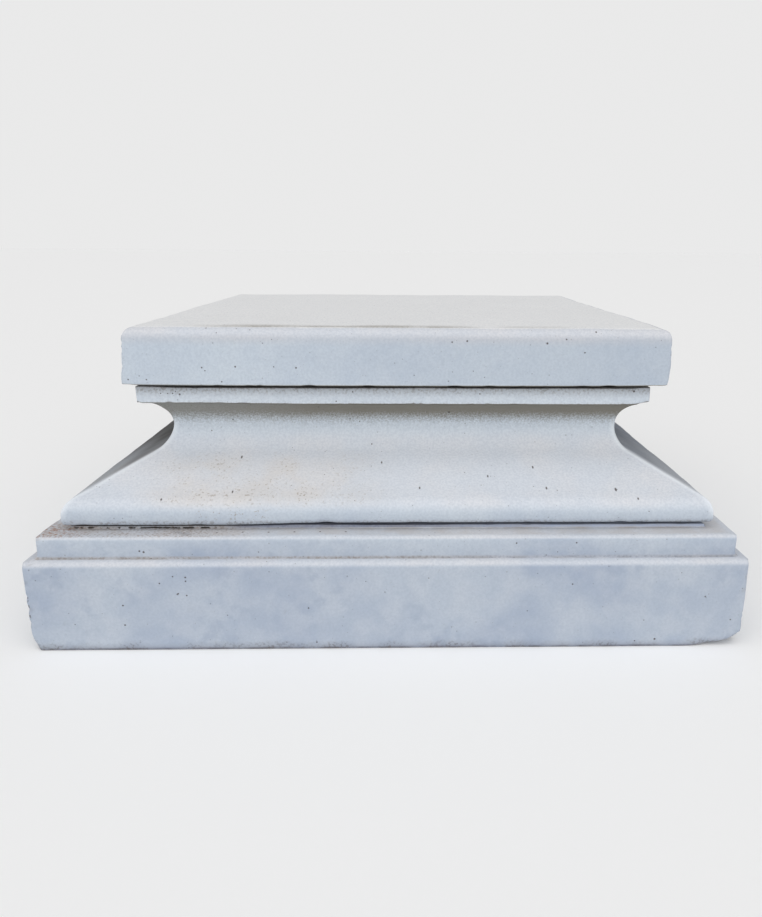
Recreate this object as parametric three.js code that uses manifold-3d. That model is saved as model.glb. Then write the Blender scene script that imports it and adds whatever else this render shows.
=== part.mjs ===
// A square column base of pale marble, carved from one block: plinth, fillet, a long flared moulding that
// ends in a rounded nose, a hollow neck, a second fillet, and a thick slab whose top bed carries the shaft.
// Millimetres, +Z up, the front towards -Y. The origin is the middle of the underside.

import * as THREE from 'three';
import { mergeVertices } from 'three/addons/utils/BufferGeometryUtils.js';
import { ConvexGeometry } from 'three/addons/geometries/ConvexGeometry.js';
import { LoftGeometry } from 'three/addons/geometries/LoftGeometry.js';
import Module from 'manifold-3d';

// Widths. The plinth's is the whole width, and each later value is a step in or out from the member below.
const plinthWidth = 702;
const plinthLedge = 10.5; // from the plinth's face in to the lower fillet's
const filletLedge = 24; // from the lower fillet's face in to the low seat under the nose
const noseOverhang = 6; // from the seat's face out to the nose's widest line
const flareRun = 86; // from the nose's widest line in to the neck
const upperLip = 0.7; // from the top of the neck's hollow out to the upper fillet's face
const slabOverhang = 12; // from the upper fillet's face out to the slab's foot
const slabBatter = 2.3; // how much narrower each side of the slab is at its top than at its foot

// Heights, from the ground up.
const plinthHeight = 92.5;
const lowerFilletHeight = 22.2;
const seatHeight = 3.3;
const quirkHeight = 2.8; // the sunk line under the nose, and the same line under the slab
const noseUpright = 4.1; // the plumb strip between the nose's under edge and its upper round
const flareRise = 72.3; // from the top of that strip to the neck
const upperFilletHeight = 17.6;
const slabHeight = 58.8;

// Radii, depths and angles of the profile.
const plinthRound = 7; // the plinth's upper edge
const lowerFilletRound = 4.5; // the lower fillet's upper edge
const noseUnderRound = 5;
const noseRound = 18.5;
const neckHollow = 26.5; // the quarter hollow between the neck and the upper fillet
const slabRound = 13; // the slab's upper edge
const quirkDepth = 12; // how far the sunk lines go in behind the faces below them
const flareSlope = THREE.MathUtils.degToRad(26.3); // the straight stretch of the flare, below the horizontal
const cornerRound = 2.5; // every upright corner, worn round in plan

// The upper members were cut a little to the right of the plinth's middle.
const neckSlip = 5;
const upperFilletSlip = 4.7;
const slabSlip = 7.8;

// Pieces broken off the front corners, each by a plane. It meets the corner's two level edges at 'along',
// to the side, and 'back', away from the front, and the upright edge at 'up'.
const leftFootBreak = { along: 8, back: 12, up: 20 };
const rightFootBreak = { along: 54, back: 34, up: 9 };
const rightFootCrumb = { along: 25, back: 18, up: 17 };
const upperFilletBreak = { along: 22, back: 14, up: 4 };
const leftSlabBreak = { along: 7, back: 6, up: 4 };
const rightSlabBreak = { along: 18, back: 10, up: 3 };

// Smoothness of the facets.
const arcHalfSteps = 5; // half the number of straight steps in each round of the profile
const cornerSteps = 3; // straight steps round each upright corner

// Half widths and levels that follow from the sizes above.
const plinthHalf = plinthWidth / 2;
const lowerFilletHalf = plinthHalf - plinthLedge;
const seatHalf = lowerFilletHalf - filletLedge;
const noseHalf = seatHalf + noseOverhang;
const neckHalf = noseHalf - flareRun;
const upperFilletHalf = neckHalf + neckHollow + upperLip;
const slabFootHalf = upperFilletHalf + slabOverhang;
const slabTopHalf = slabFootHalf - slabBatter;

const lowerFilletTop = plinthHeight + lowerFilletHeight;
const seatTop = lowerFilletTop + seatHeight;
const noseSoffit = seatTop + quirkHeight;
const noseLevel = noseSoffit + noseUnderRound + noseUpright;
const neckLevel = noseLevel + flareRise;
const upperFilletFoot = neckLevel + neckHollow;
const upperFilletTop = upperFilletFoot + upperFilletHeight;
const slabFoot = upperFilletTop + quirkHeight;
const slabTop = slabFoot + slabHeight;

// The profile as one path of half width against height, from the underside up to the top bed. The flare is
// a hollow, a straight slope and the nose, each running smoothly into the next: the hollow's radius is the
// one that touches both the neck's plumb line and the slope.
function profilePoints() {
  const quarter = Math.PI / 2;
  const noseCentre = noseHalf - noseRound;
  const slopeSine = Math.sin(flareSlope);
  const slopeCosine = Math.cos(flareSlope);
  const reach = (neckHalf - noseCentre) * slopeSine + flareRise * slopeCosine - noseRound;
  const flareHollow = reach / (1 - slopeSine);

  const path = new THREE.Path();
  path.moveTo(plinthHalf, 0);
  path.lineTo(plinthHalf, plinthHeight - plinthRound);
  path.absarc(plinthHalf - plinthRound, plinthHeight - plinthRound, plinthRound, 0, quarter, false);
  path.lineTo(lowerFilletHalf, plinthHeight);
  const filletRoundCentre = lowerFilletHalf - lowerFilletRound;
  path.absarc(filletRoundCentre, lowerFilletTop - lowerFilletRound, lowerFilletRound, 0, quarter, false);
  path.lineTo(seatHalf, lowerFilletTop);
  path.lineTo(seatHalf, seatTop);
  path.lineTo(seatHalf - quirkDepth, seatTop);
  path.lineTo(seatHalf - quirkDepth, noseSoffit);
  const underCentre = noseHalf - noseUnderRound;
  path.absarc(underCentre, noseSoffit + noseUnderRound, noseUnderRound, -quarter, 0, false);
  path.absarc(noseCentre, noseLevel, noseRound, 0, quarter - flareSlope, false);
  const slopeNormal = 3 * quarter - flareSlope;
  path.absarc(neckHalf + flareHollow, neckLevel, flareHollow, slopeNormal, 2 * quarter, true);
  path.absarc(neckHalf + neckHollow, neckLevel, neckHollow, 2 * quarter, quarter, true);
  path.lineTo(upperFilletHalf, upperFilletFoot);
  path.lineTo(upperFilletHalf, upperFilletTop);
  path.lineTo(upperFilletHalf - quirkDepth, upperFilletTop);
  path.lineTo(upperFilletHalf - quirkDepth, slabFoot);
  path.lineTo(slabFootHalf, slabFoot);
  path.absarc(slabTopHalf - slabRound, slabTop - slabRound, slabRound, 0, quarter, false);
  return path.getPoints(arcHalfSteps);
}

// How far to the right a level of the block was cut: nothing up to the nose, then growing by straight steps.
function slipAt(level) {
  const slips = [
    [noseLevel, 0],
    [neckLevel, neckSlip],
    [upperFilletFoot, upperFilletSlip],
    [upperFilletTop, upperFilletSlip],
    [slabFoot, slabSlip],
  ];
  let slip = 0;
  for (let i = 1; i < slips.length; i += 1) {
    const [low, lowSlip] = slips[i - 1];
    const [high, highSlip] = slips[i];
    const share = THREE.MathUtils.clamp((level - low) / (high - low), 0, 1);
    slip += (highSlip - lowSlip) * share;
  }
  return slip;
}

// A square in plan with worn corners, as points going anticlockwise seen from above.
function planPoints(half, level) {
  const points = [];
  const straight = half - cornerRound;
  for (let corner = 0; corner < 4; corner += 1) {
    const facing = Math.PI / 4 + (corner * Math.PI) / 2;
    const centreX = Math.sign(Math.cos(facing)) * straight;
    const centreY = Math.sign(Math.sin(facing)) * straight;
    for (let step = 0; step <= cornerSteps; step += 1) {
      const turn = facing - Math.PI / 4 + (step / cornerSteps) * (Math.PI / 2);
      const x = centreX + cornerRound * Math.cos(turn) + slipAt(level);
      const y = centreY + cornerRound * Math.sin(turn);
      points.push(new THREE.Vector3(x, y, level));
    }
  }
  return points;
}

// The wedge that a break takes off a front corner. Its inner face lies in the plane of the break, and the
// other faces stand outside the stone. 'side' is -1 for the left corner and 1 for the right.
function breakWedge(side, half, level, { along, back, up }) {
  const corner = new THREE.Vector3(side * half + slipAt(level), -half, level);
  const plane = [
    new THREE.Vector3(-side * along, 0, 0),
    new THREE.Vector3(0, back, 0),
    new THREE.Vector3(0, 0, up),
  ];
  const centre = new THREE.Vector3();
  plane.forEach((point) => centre.addScaledVector(point, 1 / plane.length));
  const overrun = 1.6;
  const points = plane.map((point) => point.clone().sub(centre).multiplyScalar(overrun).add(centre));
  points.push(centre.clone().multiplyScalar(-1));
  return new ConvexGeometry(points.map((point) => point.add(corner)));
}

const wasm = await Module();
wasm.setup();

function toSolid(geometry) {
  const bare = new THREE.BufferGeometry().copy(geometry);
  bare.deleteAttribute('normal');
  bare.deleteAttribute('uv');
  const merged = mergeVertices(bare);
  const vertProperties = new Float32Array(merged.attributes.position.array);
  const triVerts = new Uint32Array(merged.index.array);
  return new wasm.Manifold(new wasm.Mesh({ numProp: 3, vertProperties, triVerts }));
}

function toGeometry(solid) {
  const mesh = solid.getMesh();
  const geometry = new THREE.BufferGeometry();
  geometry.setAttribute('position', new THREE.Float32BufferAttribute(mesh.vertProperties, 3));
  geometry.setIndex(Array.from(mesh.triVerts));
  geometry.computeVertexNormals();
  return geometry;
}

function columnBase() {
  const rings = profilePoints().map((point) => planPoints(point.x, point.y));
  const breaks = [
    breakWedge(-1, plinthHalf, 0, leftFootBreak),
    breakWedge(1, plinthHalf, 0, rightFootBreak),
    breakWedge(1, plinthHalf, 0, rightFootCrumb),
    breakWedge(1, upperFilletHalf, upperFilletFoot, upperFilletBreak),
    breakWedge(-1, slabFootHalf, slabFoot, leftSlabBreak),
    breakWedge(1, slabFootHalf, slabFoot, rightSlabBreak),
  ];
  let solid = toSolid(new LoftGeometry(rings, { capStart: true, capEnd: true }));
  for (const wedge of breaks) {
    solid = solid.subtract(toSolid(wedge));
  }
  return toGeometry(solid);
}

const marble = new THREE.MeshStandardMaterial({ color: 0xc3c8d0, roughness: 0.62, metalness: 0 });

const base = new THREE.Mesh(columnBase(), marble);
base.name = 'column_base';

const group = new THREE.Group();
group.add(base);

export default group;
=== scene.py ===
"""The looks of a square marble column base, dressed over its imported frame.

The block is one carved stone. Its surface is a moulded profile carried round a square plan, with the hand
dressing, the worn arrises, the broken corners and the larger pits pressed into it. The sizes here are in
millimetres, as a mason gives them, and become metres where the mesh and the nodes are made. The front looks
towards -Y, and the origin is the middle of the underside.
"""

import math
from types import SimpleNamespace

import bpy
import numpy as np
from mathutils import Matrix


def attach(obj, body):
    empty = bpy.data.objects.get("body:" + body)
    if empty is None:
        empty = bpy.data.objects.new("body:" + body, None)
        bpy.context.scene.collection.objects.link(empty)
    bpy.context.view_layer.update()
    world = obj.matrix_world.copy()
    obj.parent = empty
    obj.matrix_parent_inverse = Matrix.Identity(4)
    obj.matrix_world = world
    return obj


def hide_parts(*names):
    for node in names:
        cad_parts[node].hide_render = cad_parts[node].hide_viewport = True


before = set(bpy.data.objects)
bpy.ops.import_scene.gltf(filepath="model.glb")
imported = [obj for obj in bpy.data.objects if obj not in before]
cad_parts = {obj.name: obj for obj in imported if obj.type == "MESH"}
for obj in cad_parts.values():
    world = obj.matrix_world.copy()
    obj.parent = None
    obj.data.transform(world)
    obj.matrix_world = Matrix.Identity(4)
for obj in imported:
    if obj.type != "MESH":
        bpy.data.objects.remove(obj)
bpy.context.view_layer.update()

MM = 0.001

# Half widths of the members, from the ground up
PLINTH = 351.0
LOWER_FILLET = 340.5
SEAT = 316.5
NOSE = 322.5
NECK = 236.5
UPPER_FILLET = 263.7
SLAB_FOOT = 275.7
SLAB_TOP = 273.4
QUIRK_DEPTH = 12.0

# Levels of the members. The sunk lines lie between SEAT_TOP and NOSE_SOFFIT, and between UPPER_FILLET_TOP
# and SLAB_BED.
PLINTH_TOP = 92.5
LOWER_FILLET_TOP = 114.7
SEAT_TOP = 118.0
NOSE_SOFFIT = 120.8
NOSE_LEVEL = 129.9
NECK_LEVEL = 202.2
UPPER_FILLET_FOOT = 228.7
UPPER_FILLET_TOP = 246.3
SLAB_BED = 249.1
TOP = 307.9

# Rounds of the profile
PLINTH_ROUND = 7.0
LOWER_FILLET_ROUND = 4.5
SEAT_ROUND = 0.9
NOSE_UNDER_ROUND = 5.0
NOSE_ROUND = 18.5
NECK_HOLLOW = 26.5
SLAB_ROUND = 13.0
WORN_ARRIS = 1.2
CORNER_ROUND = 2.5

# The flare between the nose and the neck: the two points where its slope, carried on, would meet the plumb
# lines of the nose and of the neck, and the hollow that joins the slope to the neck.
FLARE_SLOPE = math.radians(26.3)
HALF_TURN = (math.pi / 2 - FLARE_SLOPE) / 2
NOSE_CORNER = NOSE_LEVEL + NOSE_ROUND * math.tan(HALF_TURN)
FLARE_CORNER = NOSE_CORNER + (NOSE - NECK) * math.tan(FLARE_SLOPE)
FLARE_HOLLOW = (NECK_LEVEL - FLARE_CORNER) / math.tan(HALF_TURN)

# How far to the right each level was cut: (level, slip)
SLIP = ((NOSE_LEVEL, 0.0), (NECK_LEVEL, 5.0), (UPPER_FILLET_FOOT, 4.7), (UPPER_FILLET_TOP, 4.7), (SLAB_BED, 7.8))

# Corners broken off at the front: side, half width, level, and how far the break runs along, back and up
BREAKS = (
    (-1, PLINTH, 0.0, 8.0, 12.0, 20.0),
    (1, PLINTH, 0.0, 54.0, 34.0, 9.0),
    (1, PLINTH, 0.0, 25.0, 18.0, 17.0),
    (1, UPPER_FILLET, UPPER_FILLET_FOOT, 22.0, 14.0, 4.0),
    (-1, SLAB_FOOT, SLAB_BED, 7.0, 6.0, 4.0),
    (1, SLAB_FOOT, SLAB_BED, 18.0, 10.0, 3.0),
)

# Where the slab's lower edge was bruised at the front, left of the middle: across and radius
SLAB_FOOT_HOLES = ((-265.0, 2.6), (-189.0, 2.6), (-186.0, 1.6), (-131.0, 3.0), (-127.5, 1.6))

# The plainest pits of the front: across, level and radius
FRONT_PITS = (
    (205, 304, 0.9), (175, 297, 0.9), (76, 295, 1.0), (61, 294, 0.8), (156, 293, 1.2), (194, 284, 0.9),
    (-154, 269, 1.0), (-116, 269, 0.7), (-94, 268, 1.0), (250, 243, 1.2), (91, 240, 0.8), (-214, 239, 1.1),
    (61, 216, 1.2), (-168, 207, 0.9), (-156, 172, 1.1), (-10, 168, 0.9), (147, 165, 1.0), (99, 159, 0.9),
    (157, 151, 1.0), (227, 150, 1.3), (-157, 149, 0.9), (29, 151, 0.9), (-225, 144, 1.0), (247, 144, 1.0),
    (123, 107, 0.9), (182, 107, 0.9), (-242, 100, 1.0), (-238, 99, 1.2), (-209, 78, 0.8), (-197, 77, 1.0),
    (-197, 73, 0.9), (-222, 71, 0.9), (178, 68, 0.9), (-205, 60, 0.9), (-197, 58, 0.9), (-259, 48, 1.0),
    (-80, 44, 0.9), (-259, 27, 1.0), (264, 8, 1.2), (-73, 7, 0.9), (244, 6, 0.8), (-260, 256, 0.8),
    (-242, 256, 0.8), (-187, 268, 0.9), (-184, 265, 0.7), (-168, 254, 0.8), (-233, 240, 0.7), (-226, 240, 0.7),
    (-221, 240, 0.8), (-218, 242, 0.7), (-39, 242, 0.8), (-56, 232, 0.8), (-191, 195, 0.8), (-44, 208, 0.8),
    (-34, 205, 0.8), (-21, 182, 0.8),
)

# The other pits, by pattern: spacing, radius and darkness
PIT_SIZES = ((5.2, 0.46, 0.5), (9.4, 0.8, 0.8), (24.0, 1.2, 0.9))

# The row of drill marks on the ledge: their spacing, the place of one of them, and their distance back
DRILL_STEP = 25.2
DRILL_START = -170.0
DRILL_LINE = -326.5

# Fineness of the mesh: the front is the closest to the eye, and has the most points.
STEP = 3.6
FLAT_STEP = 34.0
ROUND_STEP = 1.9
FRONT_POINTS = 214
SIDE_POINTS = 84
BACK_POINTS = 64
CORNER_POINTS = 7

# A straight run longer than this is one of the two flat faces, and one shorter than MERGED is no run at all.
FLAT_RUN = 120.0
MERGED = 0.01

# The profile's corners, from the middle of the underside to the middle of the top bed: half width, level,
# and the radius that rounds each one.
INNER = 30.0
PROFILE = (
    (INNER, 0.0, 0.0),
    (PLINTH, 0.0, WORN_ARRIS),
    (PLINTH, PLINTH_TOP, PLINTH_ROUND),
    (LOWER_FILLET, PLINTH_TOP, 0.0),
    (LOWER_FILLET, LOWER_FILLET_TOP, LOWER_FILLET_ROUND),
    (SEAT, LOWER_FILLET_TOP, 0.0),
    (SEAT, SEAT_TOP, SEAT_ROUND),
    (SEAT - QUIRK_DEPTH, SEAT_TOP, 0.0),
    (SEAT - QUIRK_DEPTH, NOSE_SOFFIT, 0.0),
    (NOSE, NOSE_SOFFIT, NOSE_UNDER_ROUND),
    (NOSE, NOSE_CORNER, NOSE_ROUND),
    (NECK, FLARE_CORNER, FLARE_HOLLOW),
    (NECK, UPPER_FILLET_FOOT, NECK_HOLLOW),
    (UPPER_FILLET, UPPER_FILLET_FOOT, WORN_ARRIS),
    (UPPER_FILLET, UPPER_FILLET_TOP, WORN_ARRIS),
    (UPPER_FILLET - QUIRK_DEPTH, UPPER_FILLET_TOP, 0.0),
    (UPPER_FILLET - QUIRK_DEPTH, SLAB_BED, 0.0),
    (SLAB_FOOT, SLAB_BED, WORN_ARRIS),
    (SLAB_TOP, TOP, SLAB_ROUND),
    (INNER, TOP, 0.0),
)

# Light that an open surface gets from the whole sky, and from the soft light if it faces it, and the
# brightness of the backdrop
SKY_LIGHT = 0.38
FRONT_LIGHT = 0.66
BACKDROP = 0.82

# The camera: where it stands in metres, how it is turned in degrees, and the shift of its picture
EYE = (0.0124, -1.0333, 0.3851)
PITCH, YAW, ROLL = 15.502, 1.652, 0.417
PICTURE_SHIFT = -0.0473

FLOOR_REACH = 60.0


def smooth_step(value, low, high):
    """0 below low, 1 above high, and the cubic 3t squared minus 2t cubed between them."""
    t = np.clip((value - low) / (high - low), 0.0, 1.0)
    return t * t * (3 - 2 * t)


def undulation(points, size, seed, waves=28):
    """Smooth noise of about unit height over the points.

    The sum of plane waves of about the given length, in random directions and with random starts, divided
    by the square root of half their number.
    """
    draw = np.random.default_rng(seed)
    direction = draw.normal(size=(waves, 3))
    direction /= np.linalg.norm(direction, axis=1)[:, None]
    length = size * draw.uniform(0.7, 1.5, waves)
    start = draw.uniform(0.0, 2 * math.pi, waves)
    total = np.zeros(points.shape[:-1])
    for k in range(waves):
        total += np.sin(points @ (direction[k] * 2 * math.pi / length[k]) + start[k])
    return total / math.sqrt(waves / 2)


def slip_at(level):
    """How far to the right a level was cut: nothing up to the nose, then growing by straight steps."""
    return np.interp(level, [s[0] for s in SLIP], [s[1] for s in SLIP])


def straight_run(start, end, spacing):
    """Points from just after the start to the end, evenly spaced, no farther apart than the spacing."""
    count = math.ceil(np.linalg.norm(end - start) / spacing)
    return start + (end - start) * np.linspace(0.0, 1.0, count + 1)[1:, None]


def profile_stations():
    """The profile as stations along its length.

    Each corner is replaced by an arc of its own radius that touches both of its sides, and the straight
    runs between the arcs are divided evenly, closer where they are short. Returns the half widths, the
    levels, and at each station the nearness to the closest outer arris and to the closest inner angle:
    the exponential of minus the distance over the given reach.
    """
    corners = np.array(PROFILE)
    points = [corners[0, :2]]
    outer, inner = [], []
    for before, corner, after in zip(corners[:-2], corners[1:-1], corners[2:]):
        here, radius = corner[:2], corner[2]
        into = (here - before[:2]) / np.linalg.norm(here - before[:2])
        away = (after[:2] - here) / np.linalg.norm(after[:2] - here)
        turn = math.atan2(into[0] * away[1] - into[1] * away[0], into @ away)
        start = here - into * radius * math.tan(abs(turn) / 2)
        normal = np.array([-into[1], into[0]]) * math.copysign(1.0, turn)
        steps = max(2, math.ceil(abs(turn) * radius / ROUND_STEP)) if radius else 0
        angles = np.linspace(0.0, abs(turn), steps + 1)[:, None] if radius else np.zeros((1, 1))
        arc = start + radius * (into * np.sin(angles) + normal * (1 - np.cos(angles)))
        run = np.linalg.norm(arc[0] - points[-1])
        if run > MERGED:
            points.extend(straight_run(points[-1], arc[0], STEP if run < FLAT_RUN else FLAT_STEP))
        (outer if turn > 0 else inner).append((arc[0] + arc[-1]) / 2)
        points.extend(arc[1:])
    points.extend(straight_run(points[-1], corners[-1, :2], FLAT_STEP))
    path = np.array(points)

    def nearness(places, reach):
        gap = np.linalg.norm(path[:, None, :] - np.array(places)[None, :, :], axis=2).min(axis=1)
        return np.exp(-gap / reach)

    return path[:, 0], path[:, 1], nearness(outer, 5.0), nearness(inner, 4.0)


def plan_ring():
    """The square plan as one ring of points, anticlockwise seen from above, starting at the front left.

    A point at half width h, with corners rounded to the radius c, lies at h times 'square' plus c times
    'corner'. 'facing' is the outward direction there, and 'apart' how far the point is from the middle of
    its side, from 0 to 1 at the corner.
    """
    square, corner, facing, apart = [], [], [], []
    for side, count in enumerate((FRONT_POINTS, SIDE_POINTS, BACK_POINTS, SIDE_POINTS)):
        out = np.array([math.sin(side * math.pi / 2), -math.cos(side * math.pi / 2)])
        along = np.array([-out[1], out[0]])
        share = np.linspace(-1.0, 1.0, count)[:, None]
        square.append(out + along * share)
        corner.append(-along * share)
        facing.append(np.repeat(out[None, :], count, axis=0))
        apart.append(np.abs(share[:, 0]))
        angles = np.linspace(0.0, math.pi / 2, CORNER_POINTS + 2)[1:-1, None]
        rounding = out * np.cos(angles) + along * np.sin(angles)
        square.append(np.repeat((out + along)[None, :], CORNER_POINTS, axis=0))
        corner.append(rounding - (out + along))
        facing.append(rounding)
        apart.append(np.ones(CORNER_POINTS))
    return np.concatenate(square), np.concatenate(corner), np.concatenate(facing), np.concatenate(apart)


def worn_corners(square, half, level):
    """The radius of the upright corners at each point: the common one, give or take a smooth noise along
    the corner, and the common one alone near the middle of the two flat faces."""
    wide = 400.0
    on_sides = np.stack(np.broadcast_arrays(
        square[None, :, 0] * wide, square[None, :, 1] * wide, level[:, None]), axis=-1)
    radius = np.clip(CORNER_ROUND + 0.9 * undulation(on_sides, 90.0, 11), 1.2, 4.2)
    return np.where(half[:, None] < 2 * INNER, CORNER_ROUND, radius)


def plain_block():
    """The undressed surface, as a grid of points with one row for each station of the profile.

    A point is the plan ring's at the half width and level of its station, moved right by the level's slip.
    With the points come their outward directions, and what the later steps ask of each point: its station
    and half width, its nearness to an arris and to an inner angle, the way its side faces, its distance
    from the middle of the side, whether it is in a sunk line, and the larger part of its outward lean.
    """
    half, level, arris, angle = profile_stations()
    square, corner, facing, apart = plan_ring()
    plan = half[:, None, None] * square[None] + worn_corners(square, half, level)[..., None] * corner[None]
    grid = plan.shape[:2]

    def over_grid(values):
        return np.broadcast_to(values, grid)

    tangent = np.stack([np.gradient(half), np.gradient(level)], axis=1)
    tangent /= np.linalg.norm(tangent, axis=1)[:, None]
    lean, rise = tangent[:, 1], -tangent[:, 0]
    points = np.concatenate([plan, over_grid(level[:, None])[..., None]], axis=2)
    points[..., 0] += slip_at(level)[:, None]
    stations = over_grid(level[:, None])
    return SimpleNamespace(
        points=points,
        outward=np.concatenate([facing[None] * lean[:, None, None], over_grid(rise[:, None])[..., None]], axis=2),
        stations=stations,
        widths=over_grid(half[:, None]),
        arris=over_grid(arris[:, None]),
        angle=over_grid(angle[:, None]),
        facing_x=over_grid(facing[None, :, 0]),
        facing_y=over_grid(facing[None, :, 1]),
        apart=over_grid(apart[None, :]),
        sunk=(np.abs(stations - (SEAT_TOP + NOSE_SOFFIT) / 2) < 3.5) | (
            np.abs(stations - (UPPER_FILLET_TOP + SLAB_BED) / 2) < 3.5),
        steepest=np.maximum(np.abs(lean), np.abs(rise))[:, None],
    )


def dress_faces(block):
    """Works the plain surface by hand.

    A point goes in along its outward direction by two sizes of undulation, each lifted so that it only
    takes stone away, and by some more on worn arrises. The rounds of the plinth and the lower fillet are
    drawn out towards square at the two sides, and the slab's at the right: a point whose outward direction
    leans by the angle a goes out by a share of the radius times (1 / max(cos a, sin a) - 1).
    """
    points, stations, arris = block.points, block.stations, block.arris
    lifted = 1.5
    dressing = 0.28 * (undulation(points, 170.0, 1) + lifted) + 0.10 * (undulation(points, 42.0, 2) + lifted)
    wear = arris * np.clip(undulation(points, 24.0, 3) - 0.6, 0.0, None) * 0.55
    looks_down = smooth_step(-block.outward[..., 2], 0.3, 0.9)
    off_ground = smooth_step(stations, 0.0, 2.0)
    depth = (np.clip(dressing, 0.0, None) * (1 - 0.9 * looks_down) + wear) * off_ground
    depth = np.where(block.sunk & (arris < 0.3), 0.0, depth)

    low_round = np.where(stations < PLINTH_TOP + 0.1, PLINTH_ROUND, LOWER_FILLET_ROUND)
    low_round = low_round * (stations < LOWER_FILLET_TOP + 1.3)
    slab_round = SLAB_ROUND * (stations > TOP - SLAB_ROUND - 0.5) * (block.facing_x > 0.5)
    squared = (0.8 * low_round + 0.4 * slab_round) * (1 / block.steepest - 1)
    squared = squared * np.abs(block.facing_x) * (block.outward[..., 2] > 0)
    squared = np.where(block.widths > 200, squared, 0.0)
    block.points = points + block.outward * (squared - depth)[..., None]


def settle_members(block):
    """The unevenness of whole members, as far as the front shows it. Each shift fades out smoothly."""
    points, stations, widths, apart = block.points, block.stations, block.widths, block.apart
    on_slab = stations > SLAB_BED - 0.1

    # The slab's lower edge sags in the middle of each side, by the cube of the distance from it.
    lift = (0.6 + 0.9 * apart ** 3) * smooth_step(widths, UPPER_FILLET - 8, SLAB_FOOT - 4)
    points[..., 2] += np.where(on_slab, lift * (1 - smooth_step(stations, 252.0, 285.0)), 0.0)

    # The upper fillet's top rises with it, and its foot is 1.2 mm higher at the left end.
    on_fillet = smooth_step(stations, 238.0, UPPER_FILLET_TOP) * (stations < SLAB_BED - 0.1)
    points[..., 2] += on_fillet * smooth_step(apart ** 3, 0.55, 1.0) * 1.1
    fillet_foot = np.exp(-((stations - UPPER_FILLET_FOOT) / 6.0) ** 2) * (widths > NECK + 9)
    points[..., 2] += 1.2 * fillet_foot * smooth_step(-points[..., 0], 60.0, 230.0)

    # The slab's right side stands out by 1.3 mm above its foot, and its left side is 1 mm further in.
    above_foot = smooth_step(stations, 256.0, 272.0) * (1 - smooth_step(stations, 300.0, TOP))
    points[..., 0] += above_foot * (1.3 * smooth_step(points[..., 0], 200.0, 262.0)
                                    + 1.0 * smooth_step(-points[..., 0], 200.0, 250.0))

    # The slab's right side is worn back at its foot.
    worn_foot = np.exp(-np.clip(stations - SLAB_BED, 0.0, None) / 4.0) * on_slab
    points[..., 0] -= 2.0 * worn_foot * smooth_step(points[..., 0], 250.0, 280.0)

    # At the left of the front, the nose's lower edge and the seat under it were cut lower.
    front = (block.facing_y < -0.7) & (points[..., 1] < -200)
    leftward = smooth_step(-points[..., 0], 70.0, 165.0) * front
    under_nose = smooth_step(stations, SEAT_TOP + 0.5, NOSE_SOFFIT) * (1 - smooth_step(stations, 123.0, 134.0))
    on_seat = smooth_step(stations, 116.0, SEAT_TOP) * (1 - smooth_step(stations, SEAT_TOP, SEAT_TOP + 1.0))
    points[..., 2] -= leftward * (2.0 * under_nose + 0.7 * on_seat)


def break_corners(points):
    """Takes the broken corners off. Returns the points, and 1 where a break has been.

    A break is the plane that meets the corner's three edges at 'along', 'back' and 'up'. A point that
    stands in front of it by d moves back along the plane's normal by the soft ramp k log(1 + exp(d / k)),
    which is d well inside the break and nothing well outside it, and then by a little rough noise.
    """
    softness = 0.55
    broken = np.zeros(points.shape[:-1])
    for number, (side, half, level, along, back, up) in enumerate(BREAKS):
        beside = -side * (points[..., 0] - side * half - slip_at(level))
        local = np.stack([beside, points[..., 1] + half, points[..., 2] - level], axis=-1)
        gradient = np.array([1 / along, 1 / back, 1 / up])
        steepness = np.linalg.norm(gradient)
        depth = (1 - local @ gradient) / steepness
        near = (local > -1.2).all(axis=-1) & (depth > -6 * softness)
        rough = 0.5 * undulation(points, 13.0, 300 + number) + 0.25 * undulation(points, 5.0, 320 + number)
        ramp = softness * np.log1p(np.exp(np.clip(depth / softness, -30, 30)))
        inside = smooth_step(depth, 0.0, 1.5)
        move = np.where(near, ramp + inside * (0.45 + 0.45 * rough), 0.0)
        inward = gradient / steepness * np.array([-side, 1.0, 1.0])
        points = points + move[..., None] * inward
        broken = np.maximum(broken, np.where(near, inside, 0.0))
    points[..., 0] = np.clip(points[..., 0], -PLINTH, PLINTH)
    return points, broken


def scoop(points, centres, radii):
    """Presses shallow round hollows into the surface.

    Each hollow is the part of a ball that dips into the stone: a point inside the ball moves straight away
    from the ball's centre, which lies outside the stone, until it is on the ball's surface. Returns the
    points and how deep each one was pressed.
    """
    pressed = np.zeros(points.shape[:-1])
    for centre, radius in zip(centres, radii):
        offset = points - centre
        gap = np.linalg.norm(offset, axis=-1)
        push = np.clip(radius - gap, 0.0, None)
        points = points + offset / np.maximum(gap, 1e-6)[..., None] * push[..., None]
        pressed = np.maximum(pressed, push)
    return points, pressed


def scattered_hollows(points, outward, chosen_from, seed, count, radii, depths):
    """Centres and radii of round hollows at random points of the surface, with radii and depths between
    the given ends. A centre stands off the surface by the radius less the depth."""
    draw = np.random.default_rng(seed)
    flat = points.reshape(-1, 3)
    normals = outward.reshape(-1, 3)
    chosen = draw.choice(np.flatnonzero(chosen_from.reshape(-1)), size=count, replace=False)
    radius = draw.uniform(*radii, count)
    depth = draw.uniform(*depths, count)
    return flat[chosen] + normals[chosen] * (radius - depth)[:, None], radius


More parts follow.
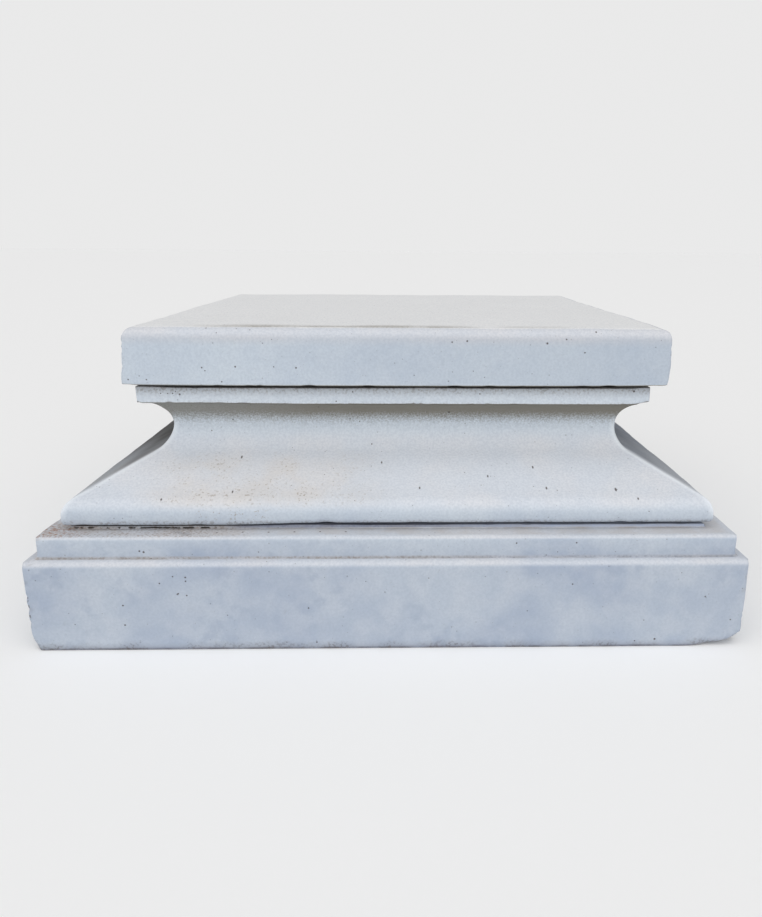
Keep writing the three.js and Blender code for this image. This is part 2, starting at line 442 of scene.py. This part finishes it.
def press_hollows(block):
    """Nicks along the open arrises and the upright corners, shallow hollows on the faces, and the bruised
    holes in the slab's lower edge. Returns how deep each point was pressed, by the nicks and by the holes."""
    stations, arris = block.stations, block.arris
    open_arris = np.zeros(stations.shape, dtype=bool)
    for worn in (PLINTH_TOP - 2, LOWER_FILLET_TOP - 1.5, UPPER_FILLET_FOOT, TOP - 4):
        open_arris |= (np.abs(stations - worn) < 1.5) & (arris > 0.6)
    on_tall_member = ((stations > 5) & (stations < 85)) | ((stations > 262) & (stations < 297))
    upright = (block.apart > 0.999) & on_tall_member
    on_face = (arris < 0.1) & (block.angle < 0.1) & (stations > 1) & (stations < TOP - 1)
    nicked = np.zeros(stations.shape)
    for chosen_from, seed, count, radii, depths in (
        (open_arris, 21, 60, (3.0, 8.0), (0.4, 1.1)),
        (upright, 22, 40, (3.0, 7.0), (0.5, 1.5)),
        (on_face, 23, 26, (4.0, 7.0), (0.3, 0.6)),
    ):
        centres, radii = scattered_hollows(block.points, block.outward, chosen_from, seed, count, radii, depths)
        block.points, pressed = scoop(block.points, centres, radii)
        nicked = np.maximum(nicked, pressed)
    centres = [(across, -SLAB_FOOT - 0.6, SLAB_BED - 0.4) for across, radius in SLAB_FOOT_HOLES]
    block.points, holed = scoop(block.points, centres, [radius for across, radius in SLAB_FOOT_HOLES])
    return nicked, holed


def side_painted_shade(block):
    """How much painted shade the hollows at the two sides get: none at the corners, darkest in the middle of the
    side and high up, lighter at the right side and on the back half of both."""
    points, stations = block.points, block.stations
    from_corner = 1 - block.apart
    strength = np.where(points[..., 0] < 0, 1.0, 0.6) * (1 - 0.35 * smooth_step(points[..., 1], 0.0, 150.0))
    middle_and_high = 0.48 * smooth_step(from_corner, 0.15, 0.85) + 0.26 * smooth_step(stations, 152.0, 166.0)
    shade = np.minimum(0.45 * smooth_step(from_corner, 0.0, 0.12) + strength * middle_and_high, 0.94)
    in_flare = smooth_step(stations, 132.0, 146.0) * (
        1 - smooth_step(stations, UPPER_FILLET_FOOT - 0.5, UPPER_FILLET_FOOT + 0.5))
    return np.abs(block.facing_x) * shade * smooth_step(from_corner, 0.0, 0.06) * in_flare


def carve_block():
    """The dressed block as one closed surface, and the marks that its material reads, each from 0 to 1."""
    block = plain_block()
    dress_faces(block)
    settle_members(block)
    block.points, broken = break_corners(block.points)
    nicked, holed = press_hollows(block)

    stations = block.stations
    on_ledge = smooth_step(stations, LOWER_FILLET_TOP - 0.5, LOWER_FILLET_TOP - 0.1) * (
        1 - smooth_step(stations, SEAT_TOP + 0.1, SEAT_TOP + 1))
    # The flare's upright corners, where a highlight is painted
    corner_highlight = smooth_step(block.apart, 0.982, 0.998) * smooth_step(stations, 124.0, 134.0) * (
        1 - smooth_step(stations, 196.0, 212.0))
    marks = {
        "angle": block.angle,
        "broken": broken,
        "hollowed": smooth_step(nicked, 0.1, 0.9),
        "holed": smooth_step(holed, 0.2, 1.2),
        # Painted shade in the hollows at the two sides
        "painted_side_shade": side_painted_shade(block),
        "ledge": on_ledge * (1 - smooth_step(block.widths, LOWER_FILLET - 9, LOWER_FILLET - 4)),
        "quirk": np.where(block.sunk, smooth_step(-block.arris, -0.75, -0.3), 0.0),
        "corner": corner_highlight,
        "bed": smooth_step(stations, TOP - 1.0, TOP - 0.2),
        "skyward": np.clip(block.outward[..., 2], 0.0, 1.0),
        "groundward": np.clip(-block.outward[..., 2], 0.0, 1.0),
    }
    return block.points, marks


def make_block():
    """Puts the carved surface into a mesh in metres, with its marks as point attributes."""
    points, marks = carve_block()
    rows, columns = points.shape[:2]
    index = np.arange(rows * columns).reshape(rows, columns)
    beside = np.roll(index, -1, axis=1)
    quads = np.stack([index[:-1], beside[:-1], beside[1:], index[1:]], axis=-1).reshape(-1, 4)
    caps = [index[0][::-1].tolist(), index[-1].tolist()]
    mesh = bpy.data.meshes.new("column_base_marble")
    mesh.from_pydata((points.reshape(-1, 3) * MM).tolist(), [], quads.tolist() + caps)
    for name, values in marks.items():
        attribute = mesh.attributes.new(name, "FLOAT", "POINT")
        attribute.data.foreach_set("value", np.ascontiguousarray(values, dtype=np.float32).reshape(-1))
    mesh.polygons.foreach_set("use_smooth", np.ones(len(mesh.polygons), dtype=bool))
    mesh.set_sharp_from_angle(angle=math.radians(52))
    mesh.validate()
    mesh.update()
    block = bpy.data.objects.new("column_base_marble", mesh)
    bpy.context.scene.collection.objects.link(block)
    return block


def linear(hex_colour):
    """An sRGB hex colour as linear red, green, blue and alpha."""
    parts = [int(hex_colour[i:i + 2], 16) / 255 for i in (1, 3, 5)]
    return [p / 12.92 if p <= 0.04045 else ((p + 0.055) / 1.055) ** 2.4 for p in parts] + [1.0]


def add_node(tree, kind, inputs=None, **settings):
    """Adds one node. Each input is given a value, or the output socket that feeds it."""
    node = tree.nodes.new(kind)
    for name, value in settings.items():
        setattr(node, name, value)
    for name, value in (inputs or {}).items():
        if isinstance(value, bpy.types.NodeSocket):
            tree.links.new(value, node.inputs[name])
        else:
            node.inputs[name].default_value = value
    return node


class Paint:
    """The stone's colour, laid on in layers. Places and sizes are in millimetres in the object's own frame:
    x across, y deep, z high."""

    def __init__(self, tree):
        self.tree = tree
        self.place = add_node(tree, "ShaderNodeTexCoord").outputs["Object"]
        spot = add_node(tree, "ShaderNodeSeparateXYZ", {0: self.place})
        self.x, self.y, self.z = spot.outputs[0], spot.outputs[1], spot.outputs[2]
        self.stone = None

        # What several layers share: noise drawn out along the mouldings, blotches, specks, the inner
        # angles, and the front.
        drawn_out = add_node(tree, "ShaderNodeMapping", {"Vector": self.place, "Scale": (0.3, 0.3, 1.0)})
        self.streaks = self.ramp(self.noise(7.0, 4.0, 0.0, drawn_out.outputs[0]), 0.38, 0.62)
        self.patches = self.ramp(self.noise(38.0, 4.0), 0.36, 0.64)
        self.speckle = self.ramp(self.noise(2.6, 3.0), 0.5, 0.62)
        self.angle = self.mark("angle")
        self.on_front = self.along(self.y, -220, -240)

    def noise(self, size, detail=2.0, distortion=0.0, where=None):
        """Cloud noise from 0 to 1, with features of about the given size."""
        made = add_node(self.tree, "ShaderNodeTexNoise", {
            "Vector": where or self.place, "Scale": 1 / (size * MM), "Detail": detail, "Distortion": distortion})
        return made.outputs["Fac"]

    def ramp(self, value, low, high, start=0.0, end=1.0):
        """Goes smoothly from start to end while the value goes from low to high."""
        made = add_node(self.tree, "ShaderNodeMapRange", {
            "Value": value, "From Min": low, "From Max": high, "To Min": start, "To Max": end},
            interpolation_type="SMOOTHSTEP")
        return made.outputs["Result"]

    def along(self, axis, low, high, start=0.0, end=1.0):
        """The same ramp between two places on an axis."""
        return self.ramp(axis, low * MM, high * MM, start, end)

    def band(self, axis, start, full, fade, end):
        """Rises from 0 at start to 1 at full, and falls from 1 at fade to 0 at end."""
        return self.times(self.along(axis, start, full), self.along(axis, end, fade))

    def maths(self, operation, first, second=0.0):
        return add_node(self.tree, "ShaderNodeMath", {0: first, 1: second}, operation=operation).outputs[0]

    def times(self, *factors):
        product = factors[0]
        for factor in factors[1:]:
            product = self.maths("MULTIPLY", product, factor)
        return product

    def raised(self, value, gain, base):
        """The value times the gain, plus the base."""
        return self.maths("ADD", self.times(value, gain), base)

    def blend(self, share, below, above):
        """The share of the colour above over the colour below. A colour is a hex or a socket."""
        below, above = (linear(c) if isinstance(c, str) else c for c in (below, above))
        made = add_node(self.tree, "ShaderNodeMix", {0: share, 6: below, 7: above}, data_type="RGBA")
        return made.outputs[2]

    def lay(self, share, colour):
        """Lays one more colour over the stone."""
        self.stone = self.blend(share, self.stone, colour)

    def mark(self, name):
        return add_node(self.tree, "ShaderNodeAttribute", attribute_name=name).outputs["Fac"]


def paint_marble(p):
    """The stone itself: clouds a hand wide, mottling a thumb wide, bruises, faint veins and a crystal grain.
    The upper members are paler than the plinth, and painted light makes the flare and the upper fillet paler
    against the shadow of the slab's overhang. What looks at the sky is bleached creamy and painted paler as by
    light from above, and the top bed is painted near white."""
    clouds = p.ramp(p.noise(120.0, 3.0, 0.4), 0.34, 0.66)
    p.stone = p.blend(clouds, "#a0abbd", "#b3bcc8")
    p.lay(p.times(p.ramp(p.noise(24.0, 4.0), 0.35, 0.68), 0.4), "#c1c7cf")
    bruises = p.times(p.ramp(p.noise(17.0, 5.0), 0.50, 0.72), p.ramp(p.noise(80.0, 2.0), 0.38, 0.62))
    p.lay(p.times(bruises, 0.42), "#8f9bb0")
    vein_line = p.maths("ABSOLUTE", p.maths("SUBTRACT", p.noise(150.0, 4.0, 0.9), 0.5))
    veins = p.times(p.ramp(vein_line, 0.022, 0.0), p.ramp(p.noise(90.0, 2.0), 0.5, 0.7))
    p.lay(p.times(veins, 0.3), "#93a0b6")

    p.lay(p.times(p.along(p.z, 90, 125), 0.5), "#c9d2da")
    on_slab = p.along(p.z, 247.0, 249.2)
    p.lay(p.times(on_slab, p.along(p.x, 100, -250), 0.33), "#cbd5de")
    p.lay(p.times(on_slab, p.along(p.x, -150, 220), 0.22), "#9fabba")
    # Painted light: paler from the nose up to the slab's bed, against the shadow of the slab's overhang
    p.lay(p.times(p.band(p.z, 122, 160, 246.5, 247.5), 0.65), "#dde5ed")
    p.lay(p.times(p.along(p.z, 288, 299), p.raised(clouds, 0.3, 0.55)), "#c2c3c8")
    # Bleach and painted top light: what faces the sky is creamy and paler, and the top bed is painted near white
    bleach_and_top_light = p.blend(p.ramp(p.noise(60.0, 3.0), 0.35, 0.7), "#d3d7de", "#dadadd")
    p.lay(p.times(p.ramp(p.mark("skyward"), 0.10, 0.7), 0.75), bleach_and_top_light)
    p.lay(p.mark("bed"), "#f0f0f0")
    p.lay(p.ramp(p.noise(2.2, 2.0), 0.3, 0.7, 0.0, 0.2), "#8f9aab")


def paint_soil_and_shade(p):
    """Darker in the inner angles, soil on the ledge, soot and painted shade under the fillet, painted shade in
    the hollows at the sides, under the slab, under the nose and on the seat, with painted light at the seat's
    right, soil and painted shade at the sunk lines, a painted highlight on the flare's upright corners, and
    painted shade towards the ground with dark soil at the very foot."""
    p.lay(p.times(p.ramp(p.angle, 0.5, 0.98), p.along(p.z, 240, 238), p.raised(p.streaks, 0.3, 0.1)), "#8b8884")
    p.lay(p.times(p.mark("ledge"), p.raised(p.streaks, 0.3, 0.1)), "#bdb5af")

    fine = p.ramp(p.noise(1.6, 3.0), 0.22, 0.78)
    # Soot and painted shade under the upper fillet: a grey-green band over the upper hollow, and brown on what
    # faces the ground, darkest right under the fillet
    p.lay(p.times(p.band(p.z, 193, 214, 228.5, 229.2), fine, 0.5), "#7c8486")
    soot_and_shade = p.ramp(p.maths("ADD", p.mark("groundward"), p.times(fine, 0.22)), 0.12, 0.70)
    p.lay(p.times(soot_and_shade, p.along(p.z, 195, 199), p.along(p.x, -230, -30, 0.74, 0.9)), "#7b7568")
    # Painted shade on the flare's side hollows: near-black brown at the left side, blue-grey at the right
    side_shade_colour = p.blend(p.along(p.x, -100, 100), "#34322f", "#424957")
    p.lay(p.times(p.mark("painted_side_shade"), p.raised(p.patches, 0.04, 0.96)), side_shade_colour)
    # Painted highlight along the flare's upright corners
    p.lay(p.times(p.mark("corner"), 0.6), "#e4e9ee")

    # Soil and painted shade in the two sunk lines
    p.lay(p.times(p.mark("quirk"), 0.7), "#544c46")
    # Painted shade with dark grains on the upper fillet's top, under the slab's overhang
    shade_under_slab = p.band(p.z, 235, 246.2, 247, 248)
    p.lay(p.times(shade_under_slab, p.raised(p.speckle, 0.4, 0.28)), "#817b76")
    # Painted shade with dark grains on the nose's underside and lower edge
    shade_under_nose = p.band(p.z, 118.5, 119, 121.5, 126.2)
    p.lay(p.times(shade_under_nose, p.raised(p.speckle, 0.45, 0.1)), "#746d68")
    # Painted shade and light on the seat's face under the nose: blue-grey at the middle, pale and bluish at the
    # right, nothing at the left end
    seat_shade = p.times(p.band(p.z, 114.6, 115, 118.2, 118.6), p.along(p.x, -165, -145))
    seat_shade_colour = p.blend(p.along(p.x, -20, 200), "#7e849a", "#b3bfd6")
    p.lay(p.times(seat_shade, p.raised(p.speckle, 0.2, 0.6)), seat_shade_colour)

    # Painted shade: darker blue-grey towards the ground
    p.lay(p.along(p.z, 9, 0, 0.0, 0.4), "#7d828e")
    p.lay(p.times(p.along(p.z, 3.5, 0.8), p.raised(p.streaks, 0.5, 0.35)), "#5f5e66")
    p.lay(p.times(p.along(p.z, 11, 2), p.patches, p.raised(p.speckle, 0.5, 0.2)), "#5b5450")


def paint_stains(p):
    """Ochre freckles on the flare and the nose, left of the middle of the front, and rust and brown soil at
    its left end: specks on the ledge, orange at its end, and a dark broken line at the foot of the seat."""
    bloom = p.times(p.band(p.x, -260, -190, -80, 20), p.band(p.z, 134, 146, 164, 180), p.on_front)
    p.lay(p.times(bloom, p.raised(p.patches, 0.25, 0.15)), "#cdc3b8")
    freckles = p.times(p.ramp(p.noise(2.6, 2.0), 0.60, 0.68), p.raised(p.patches, 0.7, 0.3))
    on_nose = p.times(p.band(p.x, -197, -183, -125, -111), p.band(p.z, 124, 127, 133, 138), p.on_front)
    p.lay(p.times(p.maths("MAXIMUM", bloom, on_nose), freckles, 0.62), "#8b7c69")

    at_ledge = p.band(p.z, 112.7, 114.4, 117.5, 120)
    rusty = p.times(p.along(p.x, -100, -200), p.along(p.y, -240, -300), at_ledge)
    p.lay(p.times(rusty, p.raised(p.speckle, 0.45, 0.16)), "#7f6b5b")
    orange = p.times(p.along(p.x, -285, -325), p.along(p.y, -270, -315), at_ledge)
    p.lay(p.times(orange, p.ramp(p.noise(2.8, 3.0), 0.50, 0.60), 0.65), "#8f5930")
    dashes = p.times(p.along(p.x, -166, -174), p.on_front, p.band(p.z, 114.1, 114.5, 115.5, 116.2))
    p.lay(p.times(dashes, p.ramp(p.noise(7.0, 2.0), 0.44, 0.52), 0.95), "#241c17")
    fillet_line = p.times(p.band(p.z, 91.5, 92.5, 93.8, 95.5), p.ramp(p.angle, 0.4, 0.9))
    line_colour = p.blend(p.along(p.x, -20, 120), "#7f7063", "#858b9a")
    p.lay(p.times(fillet_line, p.raised(p.speckle, 0.35, 0.22)), line_colour)


def find_holes(p):
    """The drill marks, the plainest pits and the scattered pits, as one mask.

    The drill marks are round on the ledge: the distance from the nearest one is the root of the squares of
    the distances across and back. A plain pit is round seen from the front. The scattered pits are balls in
    the stone, cut open by its surface, in three sizes.
    """
    from_start = p.maths("ADD", p.x, -DRILL_START * MM)
    beside = p.maths("PINGPONG", from_start, DRILL_STEP * MM / 2)
    back = p.maths("SUBTRACT", p.y, DRILL_LINE * MM)
    gap = p.maths("SQRT", p.maths("ADD", p.times(beside, beside), p.times(back, back)))
    row = p.times(p.band(p.x, -177, -176, -24, -23), p.on_front, p.band(p.z, 113.6, 114, 115.7, 116.2))
    holes = p.times(p.along(gap, 1.3, 0.8), row)

    front_view = add_node(p.tree, "ShaderNodeCombineXYZ", {0: p.x, 2: p.z}).outputs[0]
    for across, level, radius in FRONT_PITS:
        middle = (across * MM, 0.0, level * MM)
        gap = add_node(p.tree, "ShaderNodeVectorMath", {0: front_view, 1: middle}, operation="DISTANCE")
        pit = p.along(gap.outputs["Value"], 1.2 * radius, 0.5 * radius)
        holes = p.maths("MAXIMUM", holes, p.times(pit, p.on_front))

    for size, radius, shade in PIT_SIZES:
        scatter = add_node(p.tree, "ShaderNodeTexVoronoi", {"Vector": p.place, "Scale": 1 / (size * MM)})
        pit = p.ramp(scatter.outputs["Distance"], radius / size, 0.5 * radius / size, 0.0, shade)
        crowded = p.ramp(p.noise(45.0, 2.0), 0.40, 0.60, 0.35, 1.0)
        holes = p.maths("MAXIMUM", holes, p.times(pit, crowded))
    return holes


def paint_holes(p, holes):
    """Dark pits, the paler faces of nicks and breaks, brown soil along the front rim of the top bed, and
    specks up the plinth's left corner."""
    p.lay(p.times(holes, 0.85), "#463c37")
    p.lay(p.times(p.mark("hollowed"), 0.25), "#8b8885")
    p.lay(p.mark("holed"), "#2c2622")
    p.lay(p.times(p.mark("broken"), 0.45), "#a9acb2")
    rim = p.times(p.along(p.z, 306.6, 307.2), p.along(p.y, -236, -260.5), p.band(p.x, -230, -120, 50, 230))
    p.lay(p.times(rim, p.maths("ADD", p.times(p.patches, 0.25), p.raised(p.speckle, 0.2, 0.25))), "#827a6d")
    specks = p.times(p.along(p.x, -347.8, -349), p.along(p.y, -342, -347), p.band(p.z, 30, 36, 56, 64))
    p.lay(p.times(specks, p.ramp(p.noise(2.8, 2.0), 0.50, 0.58), 0.75), "#4f453f")


def weathered_marble():
    """Fine-grained blue-grey marble, sawn and hand dressed, long out of doors. The surface is matt, with
    relief too fine for the mesh: the dressed grain and the small pits."""
    material = bpy.data.materials.new("weathered_marble")
    material.use_nodes = True
    tree = material.node_tree
    tree.nodes.clear()
    p = Paint(tree)

    paint_marble(p)
    paint_soil_and_shade(p)
    paint_stains(p)
    holes = find_holes(p)
    paint_holes(p, holes)

    relief = p.maths("SUBTRACT", p.times(p.noise(3.0, 4.0), 0.25), holes)
    bump = add_node(tree, "ShaderNodeBump", {"Strength": 0.5, "Distance": 0.6 * MM, "Height": relief})
    shader = add_node(tree, "ShaderNodeBsdfPrincipled", {
        "Base Color": p.stone, "Roughness": p.ramp(p.noise(30.0, 3.0), 0.3, 0.7, 0.66, 0.8),
        "IOR": 1.486, "Specular IOR Level": 0.25, "Normal": bump.outputs[0]})
    add_node(tree, "ShaderNodeOutputMaterial", {"Surface": shader.outputs[0]})
    return material


def make_stage():
    """A plain pale floor, wide enough to reach the horizon."""
    r = FLOOR_REACH
    mesh = bpy.data.meshes.new("floor")
    mesh.from_pydata([(-r, -r, 0.0), (r, -r, 0.0), (r, r, 0.0), (-r, r, 0.0)], [], [(0, 1, 2, 3)])
    floor = bpy.data.objects.new("floor", mesh)
    bpy.context.scene.collection.objects.link(floor)
    material = bpy.data.materials.new("pale_floor")
    material.use_nodes = True
    shader = material.node_tree.nodes["Principled BSDF"]
    shader.inputs["Base Color"].default_value = linear("#fafafa")
    shader.inputs["Roughness"].default_value = 0.9
    shader.inputs["Specular IOR Level"].default_value = 0.1
    mesh.materials.append(material)


def make_lights():
    """Soft daylight: a pale even sky, and one very soft light from above and in front. The sky is brighter
    where the camera sees it directly, so that the backdrop runs on from the floor."""
    scene = bpy.context.scene
    world = bpy.data.worlds.new("pale_sky")
    world.use_nodes = True
    tree = world.node_tree
    tree.nodes.clear()
    seen = add_node(tree, "ShaderNodeLightPath").outputs["Is Camera Ray"]
    strength = add_node(tree, "ShaderNodeMapRange", {"Value": seen, "To Min": SKY_LIGHT, "To Max": BACKDROP})
    sky = add_node(tree, "ShaderNodeBackground", {"Color": linear("#ffffff"), "Strength": strength.outputs[0]})
    add_node(tree, "ShaderNodeOutputWorld", {"Surface": sky.outputs[0]})
    scene.world = world
    light = bpy.data.lights.new("soft_light", "SUN")
    light.energy = FRONT_LIGHT * math.pi
    light.angle = math.radians(100)
    lamp = bpy.data.objects.new("soft_light", light)
    lamp.rotation_euler = (math.radians(42), 0.0, math.radians(-3))
    scene.collection.objects.link(lamp)
    scene.view_settings.view_transform = "Standard"


def make_camera():
    """The photograph's own view. The picture's centre lies left of the lens axis, hence the small shift."""
    camera = bpy.data.cameras.new("camera")
    camera.lens = 30.0
    camera.sensor_width = 36.0
    camera.shift_x = PICTURE_SHIFT
    pitch, yaw, roll = (math.radians(a) for a in (PITCH, YAW, ROLL))
    forward = np.array([math.sin(yaw) * math.cos(pitch), math.cos(yaw) * math.cos(pitch), -math.sin(pitch)])
    level = np.array([math.cos(yaw), -math.sin(yaw), 0.0])
    upright = np.cross(level, forward)
    right = math.cos(roll) * level + math.sin(roll) * upright
    up = math.cos(roll) * upright - math.sin(roll) * level
    turned = Matrix.Identity(4)
    for row in range(3):
        turned[row][0], turned[row][1], turned[row][2] = right[row], up[row], -forward[row]
    turned.translation = EYE
    holder = bpy.data.objects.new("camera", camera)
    holder.matrix_world = turned
    bpy.context.scene.collection.objects.link(holder)
    bpy.context.scene.camera = holder


make_camera()
make_lights()
make_stage()

block = make_block()
block.data.materials.append(weathered_marble())
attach(block, "root")
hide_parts("column_base")
